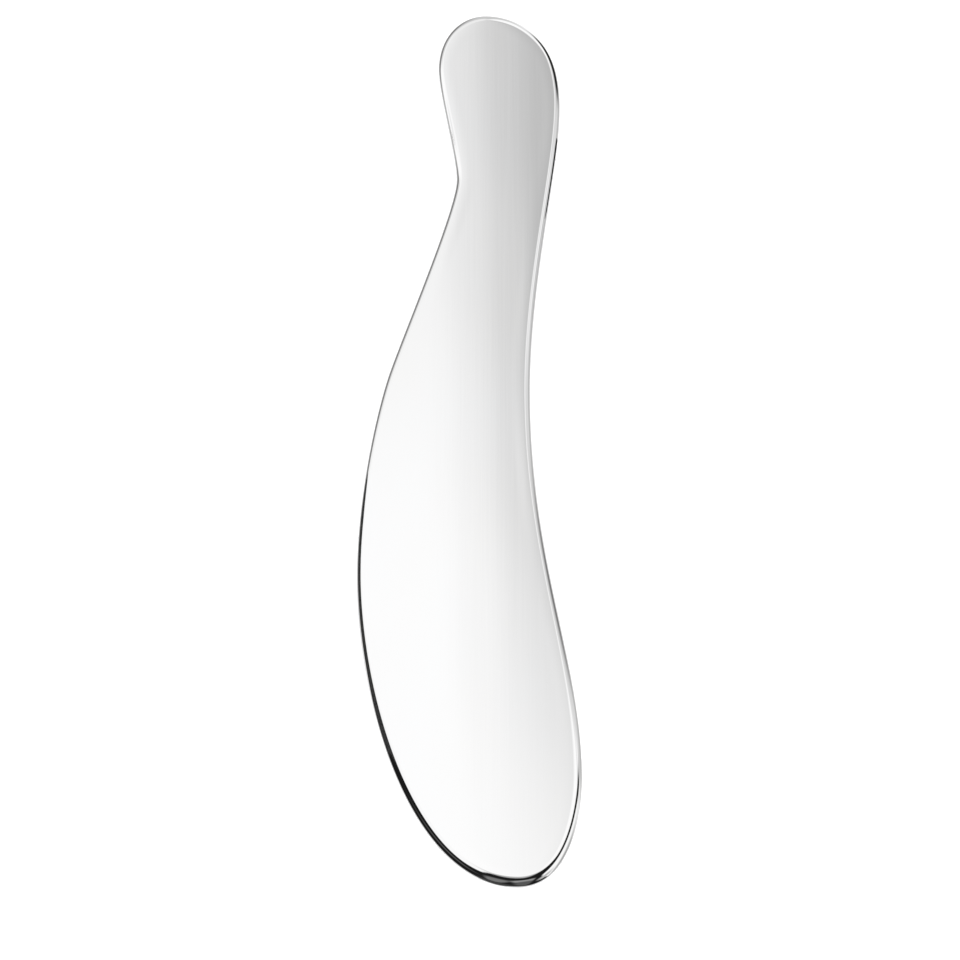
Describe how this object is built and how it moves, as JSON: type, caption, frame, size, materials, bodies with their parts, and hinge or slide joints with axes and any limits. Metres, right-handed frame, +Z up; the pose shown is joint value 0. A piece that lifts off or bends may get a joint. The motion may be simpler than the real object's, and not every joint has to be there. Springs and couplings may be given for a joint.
{
  "type": "gua sha scraper",
  "caption": "Long, flat hand-held massage scraper in mirror-polished steel, with a small round head, a waisted neck and a broad curved blade; all edges rounded.",
  "frame": {"origin": "middle of the outline's length and width, on the face the scraper lies on", "axes": "+Y along the length towards the small head, -Y towards the tip of the broad blade; +X towards the concave long edge, -X towards the convex one; +Z up, normal to both flat faces"},
  "size_m": [0.0418, 0.175, 0.003],
  "materials": {
    "polished_steel": "polished"
  },
  "bodies": {
    "root": {"scraper_body": "polished_steel"}
  },
  "joints": []
}
